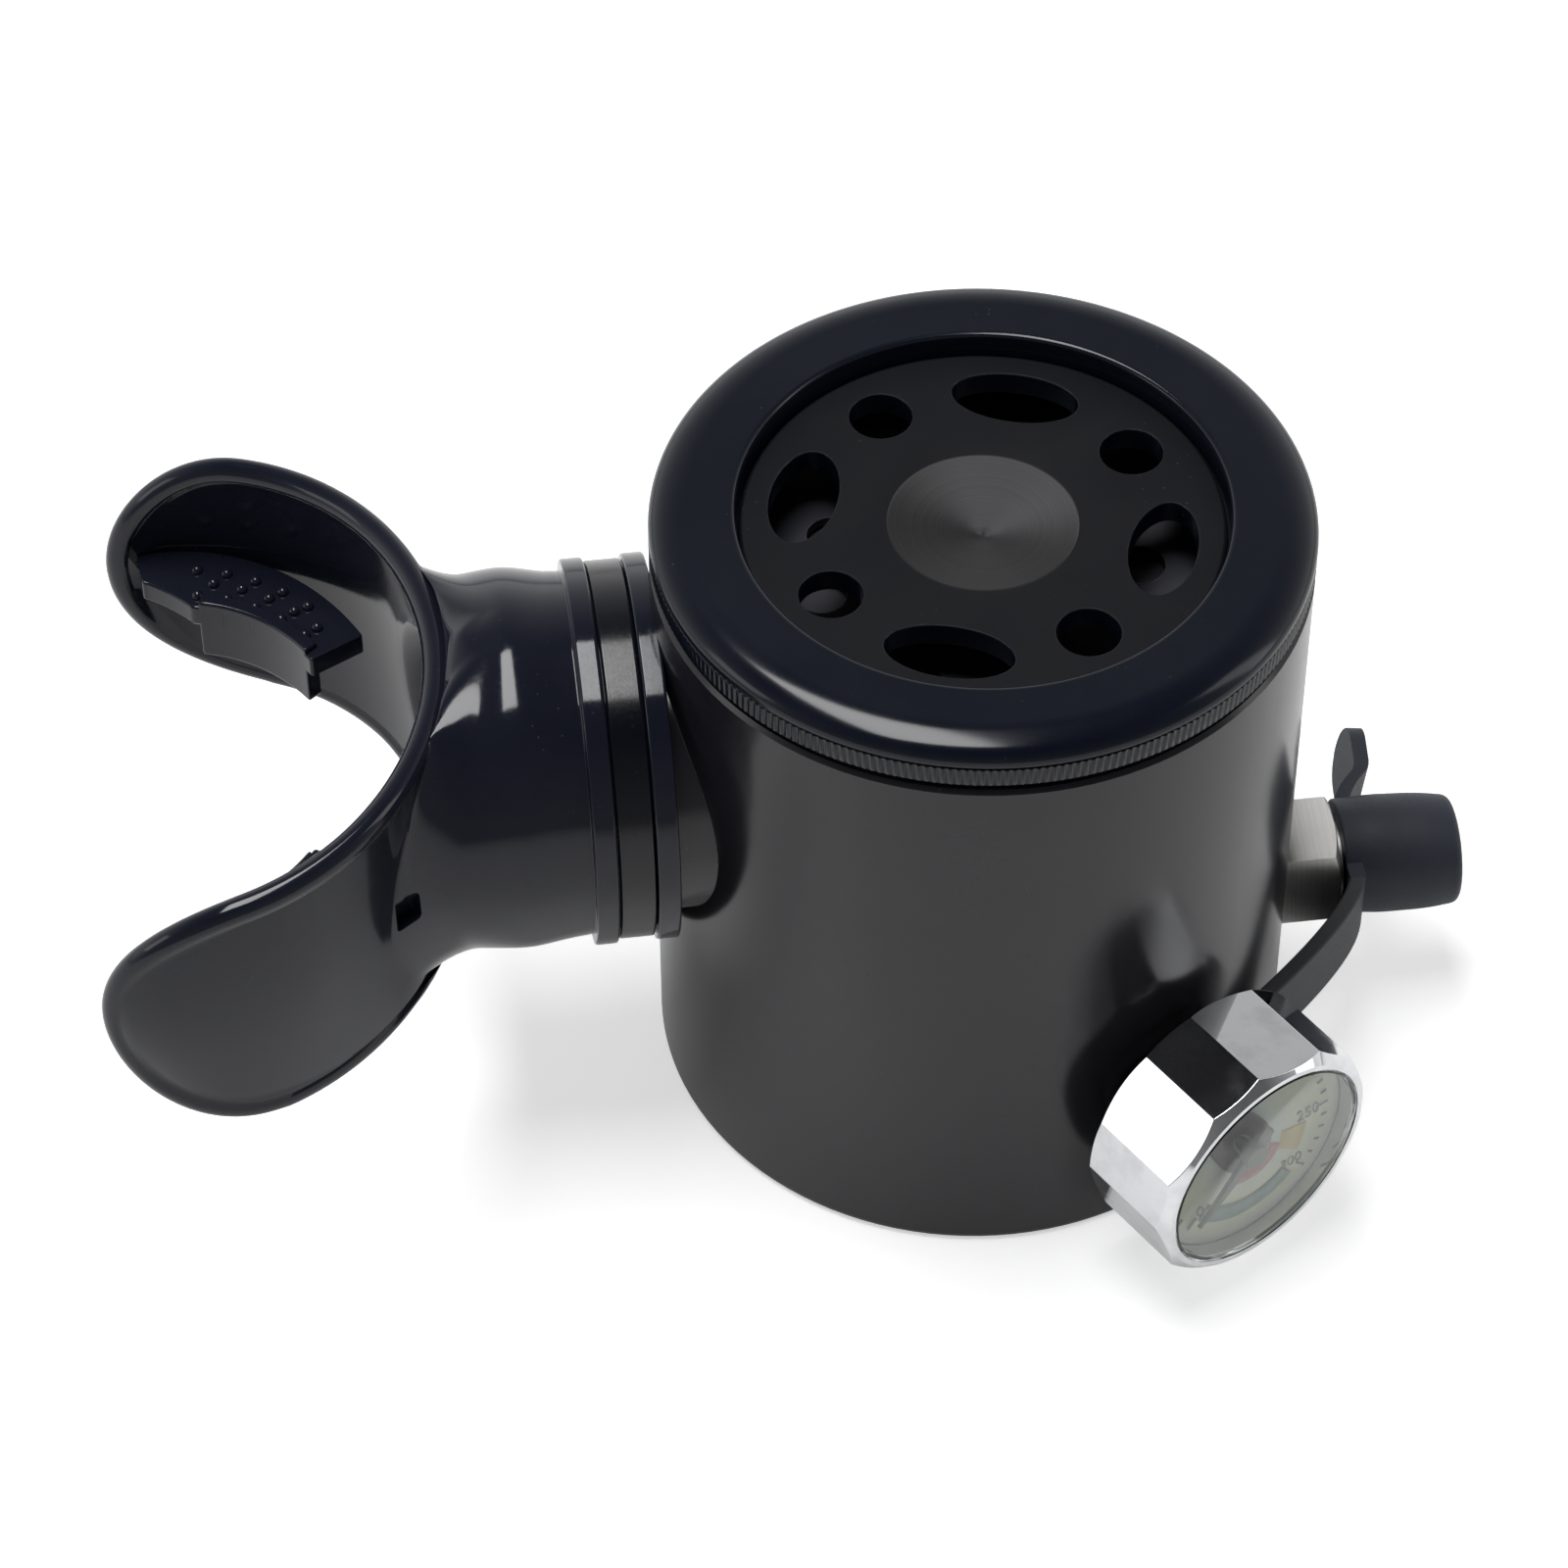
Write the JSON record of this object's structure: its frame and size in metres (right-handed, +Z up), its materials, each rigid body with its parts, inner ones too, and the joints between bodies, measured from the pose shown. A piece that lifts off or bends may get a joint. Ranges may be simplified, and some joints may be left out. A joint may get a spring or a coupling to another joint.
{
  "type": "scuba regulator head",
  "caption": "Compact breathing regulator head with purge disc, bite mouthpiece, pressure gauge and capped fill valve, for a small diving cylinder.",
  "frame": {"origin": "centre of the flat base, on the body's axis, at the mouth of the neck socket", "axes": "+Z up along the body's axis, -X towards the mouthpiece, +X towards the fill valve"},
  "size_m": [0.1395, 0.0801, 0.075],
  "materials": {
    "anodised": "black anodised aluminium, satin",
    "anodised_gloss": "black anodised aluminium, polished",
    "anodised_matte": "black anodised aluminium, matte",
    "steel": "stainless steel",
    "silicone": "soft silicone",
    "brass": "machined brass",
    "bronze": "sintered bronze",
    "seal": "seal rubber",
    "seat": "turned valve seat",
    "nickel": "nickel plated brass",
    "mouth_rubber": "glossy moulded rubber",
    "band": "nylon tie",
    "chrome": "polished chrome",
    "dial": "pale luminous print",
    "needle": "black paint",
    "crystal": "clear moulded crystal",
    "cap_rubber": "matte rubber"
  },
  "bodies": {
    "head": {"body_shell": "anodised", "top_ring": "anodised_gloss", "purge_spring": "steel", "guard_plate": "steel", "diaphragm": "silicone", "lever_pin": "steel", "valve_barrel": "brass", "barrel_cap": "brass", "demand_orifice": "brass", "poppet_spring": "steel", "first_stage_cap": "brass", "cap_o_ring": "seal", "stem_o_ring": "seal", "piston_spring": "steel", "inlet_orifice": "brass", "inlet_filter": "bronze", "filter_ring": "steel", "neck_o_ring": "seal", "mouthpiece": "mouth_rubber", "mouthpiece_band": "band", "gauge_case": "chrome", "gauge_stem": "chrome", "gauge_o_ring": "seal", "bourdon_tube": "brass", "gauge_dial": "dial", "gauge_crystal": "crystal", "fill_valve_body": "nickel", "fill_o_ring": "seal", "fill_spring": "steel", "fill_plug": "brass", "cap_strap": "cap_rubber"},
    "disc": {"purge_disc": "anodised_matte"},
    "plate": {"diaphragm_plate": "brass", "exhaust_valve": "silicone"},
    "lever": {"demand_lever": "steel"},
    "poppet": {"poppet": "brass", "poppet_nut": "brass"},
    "piston": {"piston": "nickel", "piston_seat": "seat", "piston_o_ring": "seal"},
    "needle": {"gauge_needle": "needle"},
    "fill_check": {"fill_poppet": "nickel"},
    "cap": {"dust_cap": "cap_rubber"}
  },
  "joints": [
    {"name": "purge_press", "type": "slide", "parent": "head", "child": "disc", "axis": [0, 0, -1], "range_m": [0, 0.0026], "stiffness_N_per_m": 400, "springref_m": -0.002, "deforming": ["purge_spring", "diaphragm"]},
    {"name": "plate_drop", "type": "slide", "parent": "head", "child": "plate", "axis": [0, 0, -1], "range_m": [0, 0.0026]},
    {"name": "lever_swing", "type": "hinge", "parent": "head", "child": "lever", "pos_m": [0.006, 0, 0.05648], "axis": [0, 1, 0], "range_deg": [0, 13.6]},
    {"name": "poppet_lift", "type": "slide", "parent": "head", "child": "poppet", "axis": [0, 0, 1], "range_m": [0, 0.00142], "deforming": ["poppet_spring"]},
    {"name": "piston_stroke", "type": "slide", "parent": "head", "child": "piston", "axis": [0, 0, -1], "range_m": [0, 0.0008], "stiffness_N_per_m": 600, "springref_m": -0.002, "deforming": ["piston_spring"]},
    {"name": "needle_turn", "type": "hinge", "parent": "head", "child": "needle", "pos_m": [0.02215, -0.03686, 0.0173], "axis": [-0.515, 0.8572, 0], "range_deg": [0, 270], "stiffness_Nm_per_rad": 0.00002, "springref_deg": -17.19},
    {"name": "fill_check_open", "type": "slide", "parent": "head", "child": "fill_check", "axis": [-1, 0, 0], "range_m": [0, 0.001], "stiffness_N_per_m": 300, "springref_m": -0.001, "deforming": ["fill_spring"]},
    {"name": "cap_pull", "type": "slide", "parent": "head", "child": "cap", "axis": [1, 0, 0], "range_m": [0, 0.0125], "deforming": ["cap_strap"]}
  ],
  "couplings": [
    {"joint": "plate_drop", "follows": "purge_press", "ratio": 1},
    {"joint": "lever_swing", "follows": "purge_press", "rad_per_m": 90.909},
    {"joint": "poppet_lift", "follows": "purge_press", "ratio": 0.54545}
  ]
}
